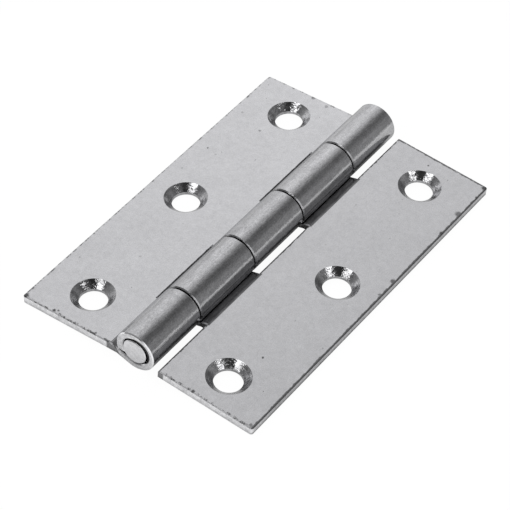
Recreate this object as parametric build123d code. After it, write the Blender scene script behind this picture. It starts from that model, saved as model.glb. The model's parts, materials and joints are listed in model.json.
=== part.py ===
"""Butt hinge: two pressed steel leaves whose edges are curled into knuckles around one fixed pin.

The hinge lies open as it comes to rest on a table, on the underside of its barrel and on both free edges.
The pin runs along Y. The origin is on the table, under the middle of the barrel.
"""
import os
from math import asin, atan2, cos, degrees, hypot, radians, sin

from build123d import *

# Driving dimensions, in millimetres and degrees
LENGTH = 75.0  # of both leaves, along the pin
LEAF_WIDTH = 25.5  # from the pin's axis to a leaf's free edge
SHEET = 1.8  # thickness of the steel strip
CURL_WALL = 1.35  # the strip's edge is drawn thinner as it is curled
PIN_DIAMETER = 5.0
PIN_PLAY = 0.25  # radial, if the pin were centred in its knuckles
PIN_CLEARANCE = 0.05  # left where the pin lies against its knuckles
PIN_LEAN = 230.0  # direction from the axis in which the pin lies, as seen from the near end
PIN_BEVEL = 0.15  # on each end of the pin
DIP = 1.2  # the barrel's underside hangs this far below a flat leaf's underside
RAMP_ANGLE = 19.0  # at which a leaf runs down into its curl
BEND_RADIUS = 0.5  # under the bend from a leaf into its ramp
SEAM_ANGLE = 20.0  # the curl stops this far below the level of the axis, just short of the ramp
SEAM_RAKE = 14.0  # and its end is squashed this much further on at the bore
END_KNUCKLE = 13.8  # from each end of the hinge to the first split
MIDDLE_KNUCKLE = 15.0  # between the two inner splits
SPLIT = 0.35  # axial gap at each split
THREE_KNUCKLE_CLEARANCE = 1.6  # from the barrel to that leaf's edge beside the other leaf's knuckles
TWO_KNUCKLE_CLEARANCE = 1.1  # the same on the leaf with two knuckles
SCREW_HOLE = 5.4  # diameter
COUNTERSINK = 8.3  # diameter at the leaf's face
COUNTERSINK_ANGLE = 100.0
END_HOLE_PITCH = 60.0  # between a leaf's two end holes, along the pin
END_HOLE_SETBACK = 15.4  # from the pin's axis
MIDDLE_HOLE_SETBACK = 17.5  # from the pin's axis
TWO_KNUCKLE_ROW_SHIFT = -0.6  # that leaf's holes are punched off centre, along the pin
CORNER_RADIUS = 0.5  # at a leaf's free corners
EDGE_BEVEL = 0.2  # where the strip was sheared and tumbled

# The strip's section, seen along the pin with the axis at the origin and the leaf flat
BORE_RADIUS = PIN_DIAMETER / 2 + PIN_PLAY
BARREL_RADIUS = BORE_RADIUS + CURL_WALL
UNDERSIDE = DIP - BARREL_RADIUS
FACE = UNDERSIDE + SHEET

# Each leaf hangs from the pin until its bevelled free edge meets the table
EDGE_REACH = LEAF_WIDTH - EDGE_BEVEL
EDGE_FALL = asin(BARREL_RADIUS / hypot(UNDERSIDE, EDGE_REACH))
DROOP = degrees(EDGE_FALL + atan2(UNDERSIDE, EDGE_REACH))

# Where each leaf keeps its knuckles along the pin
END = LENGTH / 2
OUTER_SPLIT = END - END_KNUCKLE
INNER_SPLIT = MIDDLE_KNUCKLE / 2
HALF_GAP = SPLIT / 2
THREE_KNUCKLES = [
    (-END, -OUTER_SPLIT - HALF_GAP),
    (-INNER_SPLIT + HALF_GAP, INNER_SPLIT - HALF_GAP),
    (OUTER_SPLIT + HALF_GAP, END),
]
TWO_KNUCKLES = [
    (-OUTER_SPLIT + HALF_GAP, -INNER_SPLIT - HALF_GAP),
    (INNER_SPLIT + HALF_GAP, OUTER_SPLIT - HALF_GAP),
]


def polar(radius, angle):
    """A point of the section at this distance and direction from the axis."""
    return radius * cos(radians(angle)), radius * sin(radians(angle))


def ramp_top(radius, level):
    """How far from the axis a ramp that leaves this circle of the curl comes up to this level."""
    return (level * cos(radians(RAMP_ANGLE)) + radius) / sin(radians(RAMP_ANGLE))


def strip_section():
    """The strip on edge, at its far end: flat leaf, ramp under the pin, and the curl round to the seam."""
    ramp_foot = RAMP_ANGLE - 90
    inner_seam = SEAM_ANGLE + SEAM_RAKE
    back_bend = (ramp_top(BARREL_RADIUS, UNDERSIDE), UNDERSIDE)
    face_bend = (ramp_top(BORE_RADIUS, FACE), FACE)
    with BuildSketch(Plane.XZ.offset(-END)) as section:
        with BuildLine():
            Line((LEAF_WIDTH, FACE), (LEAF_WIDTH, UNDERSIDE))
            Line((LEAF_WIDTH, UNDERSIDE), back_bend)
            Line(back_bend, polar(BARREL_RADIUS, ramp_foot))
            CenterArc((0, 0), BARREL_RADIUS, ramp_foot, -360 - ramp_foot - SEAM_ANGLE)
            Line(polar(BARREL_RADIUS, -SEAM_ANGLE), polar(BORE_RADIUS, -inner_seam))
            CenterArc((0, 0), BORE_RADIUS, -inner_seam, 360 + ramp_foot + inner_seam)
            Line(polar(BORE_RADIUS, ramp_foot), face_bend)
            Line(face_bend, (LEAF_WIDTH, FACE))
        make_face()
        fillet(section.vertices().filter_by(lambda v: abs(v.X - back_bend[0]) < 1e-6), BEND_RADIUS)
        fillet(section.vertices().filter_by(lambda v: abs(v.X - face_bend[0]) < 1e-6), BEND_RADIUS + SHEET)
    return section.sketch


def spaces_between(knuckles):
    """The stretches along the pin that a leaf leaves open for the other leaf's knuckles."""
    marks = [-END] + [y for knuckle in knuckles for y in knuckle] + [END]
    pairs = zip(marks[0::2], marks[1::2])
    return [(low, high) for low, high in pairs if high > low]


def blank_outline(knuckles, notch_edge):
    """The strip from above: its free corners, and the notches cut for the other leaf's knuckles."""
    curl_edge = -2 * BARREL_RADIUS
    from_curl = (Align.MIN, Align.CENTER)
    with BuildSketch() as outline:
        with Locations((curl_edge, 0)):
            Rectangle(LEAF_WIDTH - curl_edge, LENGTH, align=from_curl)
        for low, high in spaces_between(knuckles):
            with Locations((curl_edge, (low + high) / 2)):
                Rectangle(notch_edge - curl_edge, high - low, align=from_curl, mode=Mode.SUBTRACT)
        fillet(outline.vertices().group_by(Axis.X)[-1], CORNER_RADIUS)
    return outline.sketch


def sheared_edges(edges, notch_edge):
    """The edges where a cut face meets one of the strip's two skins."""
    curved = edges.filter_by(GeomType.LINE, reverse=True)
    straight = edges.filter_by(GeomType.LINE)
    across_leaf = straight.filter_by(lambda e: abs(e.tangent_at(0).X) > 0.5)
    along_leaf = straight.filter_by(Axis.Y).filter_by(lambda e: e.center().X > notch_edge - EDGE_BEVEL)
    return curved + across_leaf + along_leaf


def leaf(knuckles, notch_clearance, row_shift):
    """One leaf, flat and reaching along +X, with its three screw holes and these knuckles."""
    notch_edge = BARREL_RADIUS + notch_clearance
    end_hole = END_HOLE_PITCH / 2
    holes = [
        (END_HOLE_SETBACK, row_shift - end_hole, FACE),
        (MIDDLE_HOLE_SETBACK, row_shift, FACE),
        (END_HOLE_SETBACK, row_shift + end_hole, FACE),
    ]
    strip = extrude(strip_section(), amount=LENGTH)
    blank = extrude(blank_outline(knuckles, notch_edge), amount=2 * BARREL_RADIUS, both=True)
    with BuildPart() as plate:
        add(strip & blank)
        chamfer(sheared_edges(plate.edges(), notch_edge), EDGE_BEVEL)
        with Locations(*holes):
            CounterSinkHole(SCREW_HOLE / 2, COUNTERSINK / 2, 2 * SHEET, COUNTERSINK_ANGLE)
    return plate.part


def pin():
    """The fixed pin, flush with both ends of the barrel. It lies to one side in its knuckles' play."""
    x, z = polar(PIN_PLAY - PIN_CLEARANCE, PIN_LEAN)
    with BuildPart() as rod:
        Cylinder(PIN_DIAMETER / 2, LENGTH)
        chamfer(rod.edges().filter_by(GeomType.CIRCLE), PIN_BEVEL)
    return Pos(x, 0, z) * Rot(90, 0, 0) * rod.part


three_knuckle_leaf = leaf(THREE_KNUCKLES, THREE_KNUCKLE_CLEARANCE, 0)
two_knuckle_leaf = leaf(TWO_KNUCKLES, TWO_KNUCKLE_CLEARANCE, TWO_KNUCKLE_ROW_SHIFT)
on_table = Pos(0, 0, BARREL_RADIUS)
pieces = {
    "three_knuckle_leaf": on_table * Rot(0, -DROOP, 0) * Rot(0, 0, 180) * three_knuckle_leaf,
    "two_knuckle_leaf": on_table * Rot(0, DROOP, 0) * two_knuckle_leaf,
    "hinge_pin": on_table * pin(),
}

os.makedirs("parts", exist_ok=True)
for name, piece in pieces.items():
    export_step(piece, f"parts/{name}.step")
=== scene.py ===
"""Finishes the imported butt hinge: worn zinc on both leaves, the drawn pin, and a photo table."""

import json
from math import cos, pi, radians, sin

import bmesh
import bpy
from bpy.props import FloatProperty, FloatVectorProperty, PointerProperty
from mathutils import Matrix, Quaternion, Vector


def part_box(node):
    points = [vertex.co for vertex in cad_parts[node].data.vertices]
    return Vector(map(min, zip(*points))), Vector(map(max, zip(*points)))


bl_info = {
    "name": "Butt Hinge Finish",
    "version": (1, 0, 0),
    "blender": (4, 5, 0),
    "location": "3D View > Sidebar > Hinge",
    "description": "Plates the packed butt hinge in worn zinc and lays it on a photo table",
    "category": "Material",
}

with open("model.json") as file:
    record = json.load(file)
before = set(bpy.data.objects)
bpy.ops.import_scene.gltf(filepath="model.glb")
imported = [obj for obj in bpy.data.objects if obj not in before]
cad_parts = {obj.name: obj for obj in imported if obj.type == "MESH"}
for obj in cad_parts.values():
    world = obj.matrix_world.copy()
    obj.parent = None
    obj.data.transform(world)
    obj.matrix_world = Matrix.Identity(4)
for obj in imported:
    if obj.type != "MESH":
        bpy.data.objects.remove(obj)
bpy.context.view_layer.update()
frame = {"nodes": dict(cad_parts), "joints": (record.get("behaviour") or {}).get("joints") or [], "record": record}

MM = 0.001
LEAVES = ("three_knuckle_leaf", "two_knuckle_leaf")
PIN = "hinge_pin"
MOUNTS = {mount["name"]: mount for mount in frame["record"]["mounts"]}

# Sizes in millimetres. A reach is a distance from the pin's axis, out across a leaf:
# to its free edge, to the floor of its notches, and to the bend where its ramps start
PIN_AXIS_HEIGHT = frame["joints"][0]["pos_m"][2] / MM
BARREL_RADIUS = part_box("two_knuckle_leaf")[1].z / MM - PIN_AXIS_HEIGHT
COUNTERSINK_RADIUS = 4.15
LEAF_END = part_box("two_knuckle_leaf")[1].y / MM
LEAF_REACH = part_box("two_knuckle_leaf")[1].x / MM
NOTCH_REACH = {"three_knuckle_leaf": 5.64, "two_knuckle_leaf": 5.14}
BEND_REACH = {"three_knuckle_leaf": 5.50, "two_knuckle_leaf": 5.68}

# Masks. Each pair holds the value at which a mask is 0 and the value at which it is 1.
# These are in millimetres: from the pin's axis, from a hole's centre, along the pin from its
# middle, above the pin's axis, to the right of it, and above the leaf's back
BARREL_EDGE = (BARREL_RADIUS + 0.35, BARREL_RADIUS + 0.1)
KNUCKLE_RIM_EDGE = (BARREL_RADIUS - 0.4, BARREL_RADIUS - 0.3)
RAMP_EDGE = (6.4, 6.2)
NOTCH_WALL_EDGE = (6.4, 6.1)
CONE_EDGE = (COUNTERSINK_RADIUS + 0.05, COUNTERSINK_RADIUS)
PAIR_START = (7.5, 7.7)
PAIR_END = (23.7, 23.5)
BARREL_END = (LEAF_END - 1.0, LEAF_END - 0.5)
LEFT_FLANK_TOP = (3.5, 2.3)
RIGHT_FLANK_TOP = (1.95, 1.6)
RIGHT_FLANK_FOOT = (0.4, 0.9)
LEFT_SIDE = (0.0, -1.0)
RIGHT_SIDE = (0.0, 1.0)
FRACTURE_TOP = (0.8, 0.5)
# A painted shadow of the gap beside the pin's end, on the knuckles' ends
THROAT_CENTRE = (0.54, 0.0, 0.45)
THROAT_EDGE = (2.82, 2.68)
# The widths over which the bend and worn borders fade, and a step that takes a point past them
CREASE_BLUR = 0.1
BORDER_BLUR = 0.1
OFF_THE_NOTCHES = 5.0
# These are shares of the surface's direction that point up
FACE_TILT = (0.9972, 0.9984)
RAMP_TILT = (0.9986, 0.9955)
SHALLOW_TILT = (0.94, 0.98)
CURL_TILT = (0.90, 0.93)
CONE_TILT = (0.97, 0.9)
RIM_BELOW_FACE = (0.88, 0.78)
RIM_ABOVE_WALL = (0.5, 0.64)
WALL_TILT = (0.5, 0.3)
TOP_TILT = (0.0, 0.5)
# These are shares of the surface's direction that point along the pin
KNUCKLE_END_TILT = (0.5, 0.64)
KNUCKLE_RIM_TILT = (0.9, 0.8)
FAR_SIDE_TILT = (0.3, 0.6)
PIN_END_TILT = (0.5, 0.8)

# Patterns: features to the millimetre, detail and roughness
CLOUD = (0.16, 3.0)
MOTTLE = (0.9, 4.0, 0.6)
GRAIN = (4.2, 2.0, 0.6)
SPECKLE = (1.7, 3.0, 0.6)
FINE_DRAW = (1.0, 3.0, 0.65)
WIDE_DRAW = (1.0, 3.0, 0.6)
SMEAR = (1.0, 3.0, 0.6)
RIDGES = (1.1, 2.5, 0.6)
RIDGE_PATCHES = (0.35, 2.0)
GRIME = (0.55, 3.0, 0.6)
SCUFFS = (3.2, 3.0, 0.7)
WEAR = (1.3, 4.0, 0.65)
WANDER = (0.9, 3.0, 0.6)
PIT_PATCHES = (0.33, 1.0)
PIN_MOTTLE = (1.4, 3.0)
PIN_GRAIN = (5.0, 2.0)
RAGGED_SCALE = 2.4
PIT_SCALE = 0.55
NOISE_MIDDLE = 0.5
# How patterns are stretched: drawn streaks around and along the barrel, the smear around and
# across a knuckle's end, and the cutter's traces around and across a countersink
FINE_DRAW_GRID = (4.0, 0.35)
WIDE_DRAW_GRID = (1.1, 0.16)
SMEAR_GRID = (0.8, 3.5)
CUT_GRID = (4.0, 2.2)
# Steps that make the wide streaks, each hole of a row and each row differ
WIDE_DRAW_STEP = 7.0
HOLE_STEP = 3.7
ROW_STEP = 0.2
# Where a pattern starts and where it is full
RIDGED = (0.42, 0.58)
GRIMY = (0.46, 0.66)
WORN = (0.54, 0.66)
PITTED = (0.52, 0.66)
PIT_EDGE = (0.09, 0.03)
# How far borders wander and marks are ragged, in millimetres, and the share of a mark that is full
WANDER_WIDTH = 0.6
RAGGED_WIDTH = 0.55
MARK_CORE = 0.45

# How much lighter or darker things make the zinc
COOL = 1.02
# Painted light: how much lighter the plate grows per millimetre towards the far end
FAR_END_LIGHT = 0.0012
CLOUD_TONE = 0.10
MOTTLE_TONE = 0.22
GRAIN_TONE = 0.30
SHALLOW_SHADE = 0.18
RAMP_DRAW_TONE = 0.6
FINE_DRAW_SHARE = 0.6
WIDE_DRAW_SHARE = 0.5
DRAWN_TONE = 0.60
SPECKLE_TONE = 0.34
BARREL_GRAIN_TONE = 0.30
SMEAR_TONE = 0.8
THROAT_SHADE = 0.96
SCUFF_TONE = 1.2
EDGE_PATTERN_TONE = 0.6
FRACTURE_SHADE = 0.15
LONG_FRACTURE_SHADE = 0.4
MARK_COVER = 0.9
PIN_MOTTLE_TONE = 0.30
PIN_GRAIN_TONE = 0.20
# How much rougher things make it, and the limits of that
MOTTLE_ROUGH = 0.10
GRAIN_ROUGH = 0.08
MARK_ROUGH = 0.3
EDGE_ROUGH = 0.2
RIM_ROUGH = 0.35
RAMP_ROUGH = 0.15
DRAWN_ROUGH = 0.10
FLANK_ROUGH = 0.5
SPLIT_RIM_ROUGH = 0.45
PIN_END_ROUGH = 0.15
PIN_MOTTLE_ROUGH = 0.15
SMOOTHEST, ROUGHEST = 0.04, 0.95
# How high they stand, in millimetres, and how strongly the ridges of the cutter do so
MOTTLE_RELIEF = 0.012
GRAIN_RELIEF = 0.005
DRAWN_RELIEF = 0.012
SPECKLE_RELIEF = 0.026
MARK_RELIEF = 0.01
PIN_MOTTLE_RELIEF = 0.05
PIN_GRAIN_RELIEF = 0.01
FAINT_RIDGES = 0.9
STRONG_RIDGES = 1.3

# How much painted shade darkens each leaf's knuckles on their left and right flanks
FLANK_SHADE = {"three_knuckle_leaf": (0.28, 0.10), "two_knuckle_leaf": (0.60, 0.45)}
# How worn each leaf's borders are, and over what width in millimetres:
# along its free edge, its notches, its near end and its far end
BORDER_WEAR = {
    "three_knuckle_leaf": ((0.08, 0.3), (0.3, 0.10), (0.06, 0.4), (0.04, 0.4)),
    "two_knuckle_leaf": ((0.30, 0.28), (0.20, 0.3), (0.03, 0.4), (0.22, 0.5)),
}
# Marks on each leaf's face: distance from the pin, place along it and radius, in millimetres,
# then how dark they are
DIRT = (0.07, 0.07, 0.071, 1.0)
FACE_MARKS = {
    "three_knuckle_leaf": (
        (14.5, 37.0, 0.50, 0.55),
        (11.0, 36.4, 0.55, 0.40),
        (17.3, 23.2, 0.34, 0.50),
        (23.2, 25.6, 0.30, 0.35),
        (22.4, 13.4, 0.22, 0.65),
        (13.0, 16.0, 0.22, 0.40),
        (20.1, 12.8, 0.25, 0.30),
        (22.9, 6.0, 0.30, 0.25),
        (23.3, -23.9, 0.28, 0.35),
        (14.6, -17.4, 0.30, 0.25),
        (18.5, -37.0, 0.42, 0.95),
        (17.8, -36.7, 0.30, 0.80),
        (9.0, -37.1, 0.34, 0.80),
        (25.3, -35.0, 0.60, 0.75),
        (24.9, -37.1, 0.75, 0.95),
    ),
    "two_knuckle_leaf": (
        (13.6, 35.0, 0.26, 0.75),
        (25.0, 28.0, 0.95, 0.72),
        (25.2, 21.9, 0.60, 0.95),
        (25.0, 6.2, 0.75, 0.80),
        (25.0, 2.0, 0.48, 0.60),
        (25.3, 33.8, 0.50, 0.90),
        (25.0, 36.9, 0.75, 0.95),
        (17.4, -23.4, 0.32, 0.95),
        (21.9, -29.5, 0.22, 0.70),
        (8.9, 17.6, 0.28, 0.25),
        (12.6, -37.2, 0.45, 0.85),
        (24.7, -36.9, 0.50, 0.60),
    ),
}

# The table: its outline, the way its shade leans, and where its bright front starts, in metres
TABLE_SEGMENTS = 128
SHADE_LEAN = (-0.55, 0.0, 0.85)
SHADE_SAMPLES = 8
DEEPEST_SHADE = 0.05
TABLE_FRONT = (-0.030, -0.040)

# The room, by the direction in which it is seen. A side is an azimuth and an elevation in degrees
ROOM_TONE = 0.24
ROOM_COOL = 1.01
CEILING = (0.35, 0.78)
CEILING_SHADE = 0.13
LENS_SIDE = (30.0, 54.0)
LENS_SIDE_EDGE = (0.91, 0.98)
LENS_SIDE_SHADE = 0.7
FAR_WALL = (0.68, 0.9)
FAR_WALL_RIGHT = (0.0, 0.25)
FAR_WALL_SHADE = 0.55
WINDOW_LEFT = (0.32, -0.5)
WINDOW_FAR = (-0.3, 0.1)
WINDOW_FOOT = 0.42
WINDOW_RISE = 0.8
FILL_SIDE = (25.0, 10.0)
FILL_EDGE = (0.87, 0.97)
# Softboxes: azimuth and elevation in degrees, width and height in metres
SOFTBOXES = {
    "left_softbox": (-15.5, 49.0, 0.50, 0.28),
    "right_softbox": (87.0, 41.0, 0.37, 0.28),
}

# The camera's sensor in millimetres, and the nearest and furthest that it sees in metres
SENSOR_WIDTH = 36.0
NEAREST, FURTHEST = 0.01, 20.0

# The numbers of a Mix node's colour sockets, which share their names with its other sockets
MIX_FIRST, MIX_SECOND, MIX_RESULT = 6, 7, 2

# Settings of a property that holds a share
SHARE = {"min": 0.0, "max": 1.0, "subtype": "FACTOR"}


class Tap:
    """One output of a shader node.

    Arithmetic on taps adds Math nodes, or Vector Math nodes where a tap holds a vector.
    """

    def __init__(self, tree, socket=None):
        self.tree = tree
        self.socket = socket

    def node(self, kind, settings=None, inputs=None, tapped=0):
        """Adds a node with these settings, values and links, and taps one of its outputs."""
        made = self.tree.nodes.new(kind)
        for name, value in (settings or {}).items():
            setattr(made, name, value)
        for key, value in (inputs or {}).items():
            if isinstance(value, Tap):
                self.tree.links.new(value.socket, made.inputs[key])
            else:
                made.inputs[key].default_value = value
        return None if tapped is None else Tap(self.tree, made.outputs[tapped])

    def is_vector(self):
        return self.socket.type in ("VECTOR", "RGBA")

    def math(self, operation, *values):
        """One Math or Vector Math node on these values."""
        kind = "ShaderNodeMath"
        if any(isinstance(value, Tap) and value.is_vector() for value in values):
            kind = "ShaderNodeVectorMath"
            values = [v if isinstance(v, (Tap, tuple)) else (v, v, v) for v in values]
        return self.node(kind, {"operation": operation}, dict(enumerate(values)))

    def __add__(self, other):
        return self.math("ADD", self, other)

    def __radd__(self, other):
        return self.math("ADD", other, self)

    def __sub__(self, other):
        return self.math("SUBTRACT", self, other)

    def __rsub__(self, other):
        return self.math("SUBTRACT", other, self)

    def __mul__(self, other):
        return self.math("MULTIPLY", self, other)

    def __rmul__(self, other):
        return self.math("MULTIPLY", other, self)

    def __truediv__(self, other):
        return self.math("DIVIDE", self, other)

    def __rtruediv__(self, other):
        return self.math("DIVIDE", other, self)

    def __abs__(self):
        return self.math("ABSOLUTE", self)

    def least(self, other):
        return self.math("MINIMUM", self, other)

    def most(self, other):
        return self.math("MAXIMUM", self, other)

    def distance(self, point):
        sockets = {0: self, 1: point}
        return self.node("ShaderNodeVectorMath", {"operation": "DISTANCE"}, sockets, "Value")

    def dot(self, other):
        sockets = {0: self, 1: other}
        return self.node("ShaderNodeVectorMath", {"operation": "DOT_PRODUCT"}, sockets, "Value")

    def split(self):
        """A vector's three parts."""
        parts = self.node("ShaderNodeSeparateXYZ", inputs={0: self})
        return [Tap(self.tree, socket) for socket in parts.socket.node.outputs]

    def joined(self, x, y, z):
        """A vector of three values."""
        return self.node("ShaderNodeCombineXYZ", inputs={0: x, 1: y, 2: z})

    def ease(self, low, high):
        """0 at low, 1 at high, and smooth between."""
        ends = {"Value": self, "From Min": low, "From Max": high}
        return self.node("ShaderNodeMapRange", {"interpolation_type": "SMOOTHSTEP"}, ends)

    def blend(self, first, second):
        """first where this is 0, second where it is 1. Both are colours."""
        sockets = {0: self, MIX_FIRST: first, MIX_SECOND: second}
        return self.node("ShaderNodeMix", {"data_type": "RGBA"}, sockets, MIX_RESULT)

    def noise(self, scale, detail=2.0, roughness=0.5):
        """Noise over this vector, from 0 to 1."""
        sockets = {"Vector": self, "Scale": scale, "Detail": detail, "Roughness": roughness}
        return self.node("ShaderNodeTexNoise", inputs=sockets)

    def ripple(self, *pattern):
        """Noise over this vector, above and below 0."""
        return self.noise(*pattern) - NOISE_MIDDLE


def new_material(name):
    """An empty node material, and a tap to build it with."""
    material = bpy.data.materials.new(name)
    material.use_nodes = True
    material.node_tree.nodes.clear()
    return material, Tap(material.node_tree)


def show(shader, output="ShaderNodeOutputMaterial"):
    """Makes a shader the one its material or world shows."""
    shader.node(output, inputs={"Surface": shader}, tapped=None)


def zinc(tap, tone):
    """A neutral grey, a touch cool."""
    return tap.joined(tone, tone, tone * COOL)


def metal(tap, colour, rough, relief):
    """Bare metal of this colour and roughness, with its relief in millimetres."""
    bump = {"Strength": 1.0, "Distance": MM, "Height": relief}
    surface = {
        "Base Color": colour,
        "Metallic": 1.0,
        "Roughness": rough.most(SMOOTHEST).least(ROUGHEST),
        "Normal": tap.node("ShaderNodeBump", inputs=bump),
    }
    show(tap.node("ShaderNodeBsdfPrincipled", inputs=surface))


def dress(node, material):
    """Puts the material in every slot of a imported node's object."""
    for slot in frame["nodes"][node].material_slots:
        slot.link = "OBJECT"
        slot.material = material


def nearest_hole(node, reach, y):
    """How far the nearest screw hole's centre is, outward and along the pin, and its number."""
    side = node.replace("_leaf", "")
    ends = MOUNTS[side + "_end_screws"]
    middle = MOUNTS[side + "_middle_screw"]
    spacing = ends["dims"]["pcd_mm"] / 2
    row_y = ends["pos_m"][1] / MM
    end_reach = abs(ends["pos_m"][0]) / MM
    middle_reach = abs(middle["pos_m"][0]) / MM
    number = y.math("ROUND", (y - row_y) / spacing)
    outward = reach - (middle_reach + abs(number) * (end_reach - middle_reach))
    return outward, y - row_y - number * spacing, number


def back_height(node, reach):
    """How high the leaf's flat back is above the table, this far from the pin."""
    back = MOUNTS[node.replace("_leaf", "_back")]
    fall = abs(back["axis"][0] / back["axis"][2])
    return back["pos_m"][2] / MM + fall * abs(back["pos_m"][0]) / MM - reach * fall


class LeafSurface:
    """A leaf's surface: measures in millimetres, masks of its areas, and patterns over it."""

    def __init__(self, tap, node):
        self.tap = tap
        self.node = node

        # Where a point is, and which way the surface lies there
        self.place = tap.node("ShaderNodeTexCoord", tapped="Object") * (1 / MM)
        self.x, self.y, z = self.place.split()
        facing = tap.node("ShaderNodeTexCoord", tapped="Normal")
        self.lie_x, lie_y, lie_z = facing.split()
        level = abs(lie_z)
        from_middle = abs(self.y)
        self.reach = abs(self.x)
        self.lift = z - PIN_AXIS_HEIGHT
        self.from_axis = tap.math("SQRT", self.x * self.x + self.lift * self.lift)
        self.around = tap.math("ARCTAN2", self.lift, self.x) * BARREL_RADIUS
        self.outward, self.along, self.hole = nearest_hole(node, self.reach, self.y)
        from_hole_squared = self.outward * self.outward + self.along * self.along
        self.from_hole = tap.math("SQRT", from_hole_squared)
        self.above_back = z - back_height(node, self.reach)

        # The barrel, the countersinks, and the face, rims and sheared edges of the rest
        self.barrel = self.from_axis.ease(*BARREL_EDGE)
        self.cone = self.from_hole.ease(*CONE_EDGE) * level.ease(*CONE_TILT)
        self.plain = (1 - self.barrel) * (1 - self.cone)
        self.face = level.ease(*FACE_TILT) * self.plain
        self.rim = level.ease(*RIM_ABOVE_WALL) * level.ease(*RIM_BELOW_FACE) * self.plain
        self.sheared = level.ease(*WALL_TILT) * self.plain

        # The notches, and the ramps between them from the bend to the curl; painted shade darkens the ramps and
        # the crease at the bend
        beside_pair = from_middle.ease(*PAIR_START) * from_middle.ease(*PAIR_END)
        self.notched = beside_pair if node == "three_knuckle_leaf" else 1 - beside_pair
        bend = BEND_REACH[node]
        crease = self.reach.ease(bend + CREASE_BLUR, bend) * (1 - self.notched)
        crease = crease * self.face * lie_z.ease(*TOP_TILT)
        slope = lie_z.ease(*RAMP_TILT) * lie_z.ease(*CURL_TILT) * self.reach.ease(*RAMP_EDGE)
        self.ramp = (slope * self.plain).most(crease)
        self.shallow = lie_z.ease(*SHALLOW_TILT)

        # The knuckles' ends, the rims round them, and the painted shade on their flanks
        endward = abs(lie_y)
        self.knuckle_end = endward.ease(*KNUCKLE_END_TILT) * self.barrel
        rim_ring = endward.ease(*KNUCKLE_RIM_TILT) * self.from_axis.ease(*KNUCKLE_RIM_EDGE)
        self.knuckle_rim = self.knuckle_end * rim_ring
        self.outer_end = from_middle.ease(*BARREL_END)
        # Rims that get a painted highlight: at the barrel's outer ends, and on the far sides of the splits
        self.highlit_rim = self.outer_end.most(lie_y.ease(*FAR_SIDE_TILT))
        left_shade, right_shade = FLANK_SHADE[node]
        left_flank = self.lift.ease(*LEFT_FLANK_TOP) * self.x.ease(*LEFT_SIDE)
        right_flank = self.lift.ease(*RIGHT_FLANK_TOP) * self.lift.ease(*RIGHT_FLANK_FOOT)
        self.left_flank = left_flank * left_shade
        self.right_flank = right_flank * self.x.ease(*RIGHT_SIDE) * right_shade

        # Patterns of the plate, and scratches drawn along the barrel
        self.mottle = self.place.ripple(*MOTTLE)
        self.grain = self.place.ripple(*GRAIN)
        self.speckle = self.place.ripple(*SPECKLE)
        self.fine_draw = self.streaks(FINE_DRAW_GRID, self.from_axis).ripple(*FINE_DRAW)
        wide_draw = self.streaks(WIDE_DRAW_GRID, WIDE_DRAW_STEP).ripple(*WIDE_DRAW)
        self.drawn = self.fine_draw * FINE_DRAW_SHARE + wide_draw * WIDE_DRAW_SHARE

    def streaks(self, grid, step):
        """A vector that stretches a pattern along the pin."""
        around, along = grid
        return self.tap.joined(self.around * around, self.y * along, step)


def face_tone(leaf, look):
    """Cloudy plate with a fine grain, and painted shade that darkens the ramps beside the knuckles."""
    cloud = leaf.place.ripple(*CLOUD)
    # Painted light: the plate grows lighter towards the far end
    tone = look.tone + leaf.y * FAR_END_LIGHT + cloud * CLOUD_TONE
    tone = tone + leaf.mottle * MOTTLE_TONE + leaf.grain * GRAIN_TONE
    shade = look.ramp_shade + leaf.shallow * SHALLOW_SHADE - leaf.fine_draw * RAMP_DRAW_TONE
    return tone * (1 - leaf.ramp * shade)


def barrel_tone(leaf, look, tone):
    """The barrel's drawn scratches, satin speckle and shade, painted highlight and shade on its knuckles' rims,
    and painted shade on its flanks and round the pin's end.
    """
    tap = leaf.tap
    patterns = leaf.drawn * DRAWN_TONE + leaf.speckle * SPECKLE_TONE
    patterns = patterns + leaf.grain * BARREL_GRAIN_TONE
    tone = tone + leaf.barrel * (patterns - look.barrel_shade)
    # Painted highlight on the rims at the barrel's ends and the splits' far sides, painted shade on the rims at
    # the splits' near sides
    rims = leaf.highlit_rim * (look.end_highlight + look.split_shade) - look.split_shade
    tone = tone + leaf.knuckle_rim * rims
    flanks = (leaf.left_flank + leaf.right_flank) * leaf.barrel * (1 - leaf.knuckle_end)
    # Painted shadow of the gap round the pin's end, across the knuckles' ends
    from_throat = tap.joined(leaf.x, 0.0, leaf.lift).distance(THROAT_CENTRE)
    throat_shadow = from_throat.ease(*THROAT_EDGE) * leaf.knuckle_end
    around, across = SMEAR_GRID
    smear = tap.joined(leaf.around * around, leaf.from_axis * across, leaf.y).ripple(*SMEAR)
    tone = tone * (1 - flanks) * (1 + leaf.knuckle_end * smear * SMEAR_TONE)
    return tone * (1 - throat_shadow * THROAT_SHADE)


def cutter_traces(leaf, look):
    """The cutter's ridges in the countersinks, and how dark its grime and scuffs make them."""
    tap = leaf.tap
    around, across = CUT_GRID
    turn = tap.math("ARCTAN2", leaf.along, leaf.outward)
    own = leaf.hole * HOLE_STEP + leaf.x * ROW_STEP
    cut = tap.joined(turn * around, leaf.from_hole * across, own)
    strength = FAINT_RIDGES + STRONG_RIDGES * cut.noise(*RIDGE_PATCHES).ease(*RIDGED)
    grime = cut.noise(*GRIME).ease(*GRIMY) * look.cone_grime
    return cut.ripple(*RIDGES) * strength, grime - cut.ripple(*SCUFFS) * SCUFF_TONE


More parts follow.
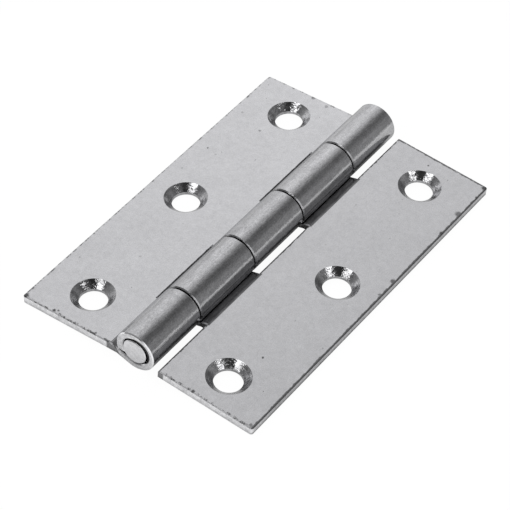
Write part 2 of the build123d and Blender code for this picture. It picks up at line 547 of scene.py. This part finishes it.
def edge_tone(leaf, look, tone):
    """Sheared edges and rims lightened by a painted highlight, the edges broken off dull towards the back, and
    notch walls darkened by painted shade.
    """
    fracture = FRACTURE_SHADE + abs(leaf.lie_x) * LONG_FRACTURE_SHADE
    fracture = leaf.above_back.ease(*FRACTURE_TOP) * fracture
    patterns = leaf.mottle * EDGE_PATTERN_TONE + leaf.grain * EDGE_PATTERN_TONE
    shine = leaf.sheared * (look.edge_highlight + patterns - fracture)
    tone = tone * (1 + shine + leaf.rim * look.edge_highlight)
    # Painted shade on the walls of the notches
    return tone * (1 - leaf.sheared * leaf.reach.ease(*NOTCH_WALL_EDGE) * look.notch_shade)


def leaf_marks(leaf, look):
    """Worn borders, the leaf's larger marks with their ragged outlines, and small pits."""
    tap, place, reach, y = leaf.tap, leaf.place, leaf.reach, leaf.y
    wear = place.noise(*WEAR)
    wander = place.ripple(*WANDER) * WANDER_WIDTH
    from_notch = reach - NOTCH_REACH[leaf.node] + (1 - leaf.notched) * OFF_THE_NOTCHES
    insets = (LEAF_REACH - reach, from_notch, y + LEAF_END, LEAF_END - y)
    marks = 0.0
    for inset, (share, width) in zip(insets, BORDER_WEAR[leaf.node]):
        line = (inset + wander).ease(width + BORDER_BLUR, width) * (wear + share).ease(*WORN)
        marks = (line * leaf.face.most(leaf.rim)).most(marks)
    marks = marks * look.rim_wear

    sockets = {"Vector": place, "Scale": RAGGED_SCALE}
    ragged = tap.node("ShaderNodeTexNoise", inputs=sockets, tapped="Color") - NOISE_MIDDLE
    warped = tap.joined(reach, y, 0.0) + ragged * RAGGED_WIDTH
    for mark_reach, mark_y, radius, depth in FACE_MARKS[leaf.node]:
        from_mark = warped.distance((mark_reach, mark_y, 0.0))
        stain = from_mark.ease(radius, radius * MARK_CORE) * depth
        marks = marks.most(stain * (leaf.plain - leaf.sheared))

    from_pit = tap.node("ShaderNodeTexVoronoi", inputs={"Vector": place, "Scale": PIT_SCALE})
    pits = from_pit.ease(*PIT_EDGE) * place.noise(*PIT_PATCHES).ease(*PITTED) * look.pitting
    return marks.most(pits * leaf.plain)


def leaf_roughness(leaf, look, marks):
    """Satin faces and barrel, glossy countersinks, and dull edges, ramps and marks."""
    rough = look.roughness + leaf.mottle * MOTTLE_ROUGH + leaf.grain * GRAIN_ROUGH
    rough = rough + marks * MARK_ROUGH + leaf.sheared * EDGE_ROUGH
    rough = rough + leaf.rim * RIM_ROUGH + leaf.ramp * RAMP_ROUGH
    barrel = leaf.drawn * DRAWN_ROUGH + look.barrel_roughness - look.roughness
    rough = rough + leaf.barrel * (barrel + leaf.left_flank * FLANK_ROUGH)
    rough = rough + leaf.cone * (look.cone_roughness - look.roughness)
    return rough + leaf.knuckle_rim * (leaf.highlit_rim - leaf.outer_end) * SPLIT_RIM_ROUGH


def plate_leaf(node, look):
    """Bright zinc over a pressed leaf: its face, barrel, countersinks, sheared edges and marks."""
    material, tap = new_material("zinc_" + node)
    leaf = LeafSurface(tap, node)
    ridges, grime = cutter_traces(leaf, look)
    tone = barrel_tone(leaf, look, face_tone(leaf, look))
    tone = edge_tone(leaf, look, tone * (1 - grime * leaf.cone))
    marks = leaf_marks(leaf, look)
    relief = leaf.mottle * MOTTLE_RELIEF + leaf.grain * GRAIN_RELIEF
    relief = relief + leaf.barrel * (leaf.drawn * DRAWN_RELIEF + leaf.speckle * SPECKLE_RELIEF)
    relief = relief + leaf.cone * ridges * look.chatter - marks * MARK_RELIEF
    colour = (marks * MARK_COVER).blend(zinc(tap, tone), DIRT)
    metal(tap, colour, leaf_roughness(leaf, look, marks), relief)
    dress(node, material)


def finish_pin(look):
    """The pin: drawn zinc-plated wire with cut, slightly dull ends."""
    material, tap = new_material("zinc_pin")
    place = tap.node("ShaderNodeTexCoord", tapped="Object") * (1 / MM)
    facing = tap.node("ShaderNodeTexCoord", tapped="Normal")
    ends = abs(facing.split()[1]).ease(*PIN_END_TILT)
    mottle = place.ripple(*PIN_MOTTLE)
    grain = place.ripple(*PIN_GRAIN)
    tone = look.pin_tone + mottle * PIN_MOTTLE_TONE + grain * PIN_GRAIN_TONE
    rough = look.roughness + ends * PIN_END_ROUGH + mottle * PIN_MOTTLE_ROUGH
    relief = mottle * PIN_MOTTLE_RELIEF + grain * PIN_GRAIN_RELIEF
    metal(tap, zinc(tap, tone), rough, relief)
    dress(PIN, material)


def pale_table(stage):
    """White to the lens. The metal sees it dimmer to the sides and close under the hinge."""
    material, tap = new_material("pale_table")
    lens = tap.node("ShaderNodeLightPath", tapped="Is Camera Ray")
    mirrored = tap.node("ShaderNodeLightPath", tapped="Is Glossy Ray")
    through = tap.node("ShaderNodeLightPath", tapped="Is Transmission Ray")
    seen = lens.most(mirrored).most(through)
    sky = {"Distance": stage.shade_reach, "Normal": tuple(Vector(SHADE_LEAN).normalized())}
    open_sky = tap.node("ShaderNodeAmbientOcclusion", {"samples": SHADE_SAMPLES}, sky, "AO")
    place = tap.node("ShaderNodeNewGeometry", tapped="Position")
    front = place.split()[1].ease(*TABLE_FRONT)
    mirrored_white = stage.floor_dim + front * (stage.floor_white - stage.floor_dim)
    mirrored_white = open_sky.most(DEEPEST_SHADE) * mirrored_white
    # A ray that came up through the clear underside sees the table unshaded
    from_below = tap.node("ShaderNodeLightPath", tapped="Transparent Depth").least(1.0)
    mirrored_white = mirrored_white.most(from_below * stage.floor_dim)
    white = lens * stage.floor_white + (seen - lens) * mirrored_white
    shading = stage.floor_shading
    top = {
        "Base Color": seen.blend((*stage.floor_colour, 1.0), (shading, shading, shading, 1.0)),
        "Roughness": 1.0,
        "Specular IOR Level": 0.0,
        "Emission Color": tap.joined(white, white, white),
        "Emission Strength": 1.0,
    }
    table = tap.node("ShaderNodeBsdfPrincipled", inputs=top)
    underside = tap.node("ShaderNodeNewGeometry", tapped="Backfacing")
    clear = tap.node("ShaderNodeBsdfTransparent")
    show(tap.node("ShaderNodeMixShader", inputs={0: underside, 1: table, 2: clear}))
    return material


def lay_floor(stage):
    """A round pale table top, clear from below."""
    ring = bmesh.new()
    bmesh.ops.create_circle(
        ring, cap_ends=True, segments=TABLE_SEGMENTS, radius=stage.floor_radius
    )
    mesh = bpy.data.meshes.new("table_top")
    ring.to_mesh(mesh)
    ring.free()
    mesh.materials.append(pale_table(stage))
    floor = bpy.data.objects.new("table_top", mesh)
    bpy.context.scene.collection.objects.link(floor)


def direction(azimuth, elevation):
    """A unit vector towards this azimuth, measured from -Y towards +X, and elevation."""
    a, e = radians(azimuth), radians(elevation)
    return Vector((sin(a) * cos(e), -cos(a) * cos(e), sin(e)))


def light_room(stage):
    """A dim studio with one wide soft window over the far left and a low light in front."""
    world = bpy.data.worlds.new("studio")
    bpy.context.scene.world = world
    world.use_nodes = True
    world.node_tree.nodes.clear()
    tap = Tap(world.node_tree)
    heading = tap.node("ShaderNodeTexCoord", tapped="Generated")
    x, y, z = heading.split()
    behind_lens = heading.dot(direction(*LENS_SIDE)).ease(*LENS_SIDE_EDGE)
    far_wall = y.ease(*FAR_WALL) * x.ease(*FAR_WALL_RIGHT)
    room = ROOM_TONE - z.ease(*CEILING) * CEILING_SHADE
    room = room * (1 - behind_lens * LENS_SIDE_SHADE) * (1 - far_wall * FAR_WALL_SHADE)
    brightness = (WINDOW_FOOT + z * WINDOW_RISE).least(1.0).most(0.0)
    window = x.ease(*WINDOW_LEFT) * y.ease(*WINDOW_FAR) * brightness
    fill = heading.dot(direction(*FILL_SIDE)).ease(*FILL_EDGE)
    level = room + window * stage.window + fill * stage.fill
    light = {"Color": tap.joined(level, level, level * ROOM_COOL), "Strength": 1.0}
    show(tap.node("ShaderNodeBackground", inputs=light), "ShaderNodeOutputWorld")


def hang_softbox(name, azimuth, elevation, width, height, radiance):
    """A rectangular lamp a metre off, facing the hinge, that the lens doesn't see."""
    lamp = bpy.data.lights.new(name, "AREA")
    lamp.shape = "RECTANGLE"
    lamp.size, lamp.size_y = width, height
    lamp.energy = radiance * width * height * pi
    holder = bpy.data.objects.new(name, lamp)
    toward = direction(azimuth, elevation)
    holder.location = toward
    holder.rotation_mode = "QUATERNION"
    holder.rotation_quaternion = toward.to_track_quat("Z", "Y")
    holder.visible_camera = False
    bpy.context.scene.collection.objects.link(holder)


def aim_camera(stage):
    """The photograph's lens and place."""
    data = bpy.data.cameras.new("photo_camera")
    data.sensor_width = SENSOR_WIDTH
    data.lens = stage.lens
    data.clip_start, data.clip_end = NEAREST, FURTHEST
    camera = bpy.data.objects.new("photo_camera", data)
    camera.location = stage.camera_place
    sight = Vector(stage.camera_aim) - Vector(stage.camera_place)
    roll = Quaternion((0, 0, 1), stage.camera_roll)
    camera.rotation_mode = "QUATERNION"
    camera.rotation_quaternion = sight.to_track_quat("-Z", "Y") @ roll
    bpy.context.scene.collection.objects.link(camera)
    bpy.context.scene.camera = camera


class HingePlating(bpy.types.PropertyGroup):
    """The zinc finish."""

    tone: FloatProperty(
        name="Tone", description="Brightness of the plate", default=0.775, **SHARE
    )
    roughness: FloatProperty(
        name="Face roughness", description="Satin of the flat faces", default=0.18, **SHARE
    )
    barrel_roughness: FloatProperty(
        name="Barrel roughness", description="Satin of the curled knuckles", default=0.15, **SHARE
    )
    barrel_shade: FloatProperty(
        name="Barrel shade", description="How much darker the drawn knuckles are",
        default=0.08, **SHARE,
    )
    cone_roughness: FloatProperty(
        name="Countersink roughness", description="Gloss of the countersinks",
        default=0.08, **SHARE,
    )
    chatter: FloatProperty(
        name="Chatter", description="Depth of the cutter's chatter, in millimetres",
        default=0.05, min=0.0,
    )
    # Painted highlight on the burnished sheared edges and the rims
    edge_highlight: FloatProperty(
        name="Edge shine", description="How much brighter the sheared edges are",
        default=0.12, min=0.0,
    )
    # Painted highlight on the rims at the barrel's ends and the splits' far sides
    end_highlight: FloatProperty(
        name="End shine", description="How much brighter the rims of the barrel's ends are",
        default=0.25, min=0.0,
    )
    split_shade: FloatProperty(
        name="Split shade", description="How much darker the rims at the splits are",
        default=0.28, min=0.0,
    )
    ramp_shade: FloatProperty(
        name="Ramp shade", description="How much darker the ramps beside the knuckles are",
        default=0.50, **SHARE,
    )
    notch_shade: FloatProperty(
        name="Notch shade", description="How much darker the notches' walls are",
        default=0.7, **SHARE,
    )
    cone_grime: FloatProperty(
        name="Countersink grime", description="Darkness of the smears in the countersinks",
        default=0.28, **SHARE,
    )
    pin_tone: FloatProperty(
        name="Pin tone", description="Brightness of the pin's ends", default=0.74, **SHARE
    )
    pitting: FloatProperty(
        name="Pitting", description="Strength of the small random pits", default=0.6, **SHARE
    )
    rim_wear: FloatProperty(
        name="Rim wear", description="Darkness of the worn rims", default=0.8, **SHARE
    )


class HingeStage(bpy.types.PropertyGroup):
    """The table, the light and the camera."""

    floor_radius: FloatProperty(
        name="Table radius", description="Of the round table top", default=3.0, unit="LENGTH"
    )
    floor_colour: FloatVectorProperty(
        name="Table colour", description="Of the table top",
        default=(0.9, 0.9, 0.9), min=0.0, max=1.0, subtype="COLOR",
    )
    floor_white: FloatProperty(
        name="Table white", description="White that the lens and the metal see",
        default=0.96, min=0.0,
    )
    floor_dim: FloatProperty(
        name="Table sides", description="White that the metal sees to the sides",
        default=0.55, min=0.0,
    )
    floor_shading: FloatProperty(
        name="Table shading", description="How strongly shadows show on it",
        default=0.12, min=0.0,
    )
    shade_reach: FloatProperty(
        name="Shade reach", description="How far the hinge darkens the table around it",
        default=0.015, unit="LENGTH",
    )
    window: FloatProperty(
        name="Window", description="Strength of the wide soft window", default=0.62, min=0.0
    )
    fill: FloatProperty(
        name="Front fill", description="Strength of the low soft light in front",
        default=0.7, min=0.0,
    )
    softbox: FloatProperty(
        name="Softboxes", description="Strength of the two front softboxes",
        default=1.6, min=0.0,
    )
    lens: FloatProperty(
        name="Lens", description="Focal length in millimetres", default=169.968, unit="CAMERA"
    )
    camera_place: FloatVectorProperty(
        name="Camera place", description="Where the lens is",
        default=(0.173265, -0.256305, 0.316317), subtype="XYZ", unit="LENGTH", precision=6,
    )
    camera_aim: FloatVectorProperty(
        name="Camera aim", description="Point of the table at the picture's centre",
        default=(0.000371, -0.002383, 0.0), subtype="XYZ", unit="LENGTH", precision=6,
    )
    camera_roll: FloatProperty(
        name="Camera roll", description="Turn of the camera about its line of sight",
        default=radians(2.7414), subtype="ANGLE",
    )


class HINGE_OT_plate_leaves(bpy.types.Operator):
    """Plate both leaves, with the wear and marks of each"""

    bl_idname = "hinge.plate_leaves"
    bl_label = "Plate the Leaves"

    def execute(self, context):
        for node in LEAVES:
            plate_leaf(node, context.scene.hinge_plating)
        return {"FINISHED"}


class HINGE_OT_finish_pin(bpy.types.Operator):
    """Finish the pin that holds the leaves together"""

    bl_idname = "hinge.finish_pin"
    bl_label = "Finish the Pin"

    def execute(self, context):
        finish_pin(context.scene.hinge_plating)
        return {"FINISHED"}


class HINGE_OT_set_stage(bpy.types.Operator):
    """Lay the table, light it and place the camera"""

    bl_idname = "hinge.set_stage"
    bl_label = "Set the Stage"

    def execute(self, context):
        stage = context.scene.hinge_stage
        lay_floor(stage)
        light_room(stage)
        for name, place_and_size in SOFTBOXES.items():
            hang_softbox(name, *place_and_size, stage.softbox)
        aim_camera(stage)
        context.scene.view_settings.view_transform = "Standard"
        return {"FINISHED"}


class HINGE_PT_sidebar(bpy.types.Panel):
    """Lists the hinge's settings and steps"""

    bl_label = "Butt Hinge"
    bl_space_type = "VIEW_3D"
    bl_region_type = "UI"
    bl_category = "Hinge"

    def draw(self, context):
        column = self.layout.column()
        for group in (context.scene.hinge_plating, context.scene.hinge_stage):
            for name in group.__annotations__:
                column.prop(group, name)
        for operator in OPERATORS:
            column.operator(operator.bl_idname)


OPERATORS = (HINGE_OT_plate_leaves, HINGE_OT_finish_pin, HINGE_OT_set_stage)
CLASSES = (HingePlating, HingeStage, *OPERATORS, HINGE_PT_sidebar)


def register():
    for cls in CLASSES:
        bpy.utils.register_class(cls)
    bpy.types.Scene.hinge_plating = PointerProperty(type=HingePlating)
    bpy.types.Scene.hinge_stage = PointerProperty(type=HingeStage)


def unregister():
    del bpy.types.Scene.hinge_stage
    del bpy.types.Scene.hinge_plating
    for cls in reversed(CLASSES):
        bpy.utils.unregister_class(cls)


def main():
    register()
    bpy.ops.hinge.plate_leaves()
    bpy.ops.hinge.finish_pin()
    bpy.ops.hinge.set_stage()


if __name__ == "__main__":
    main()
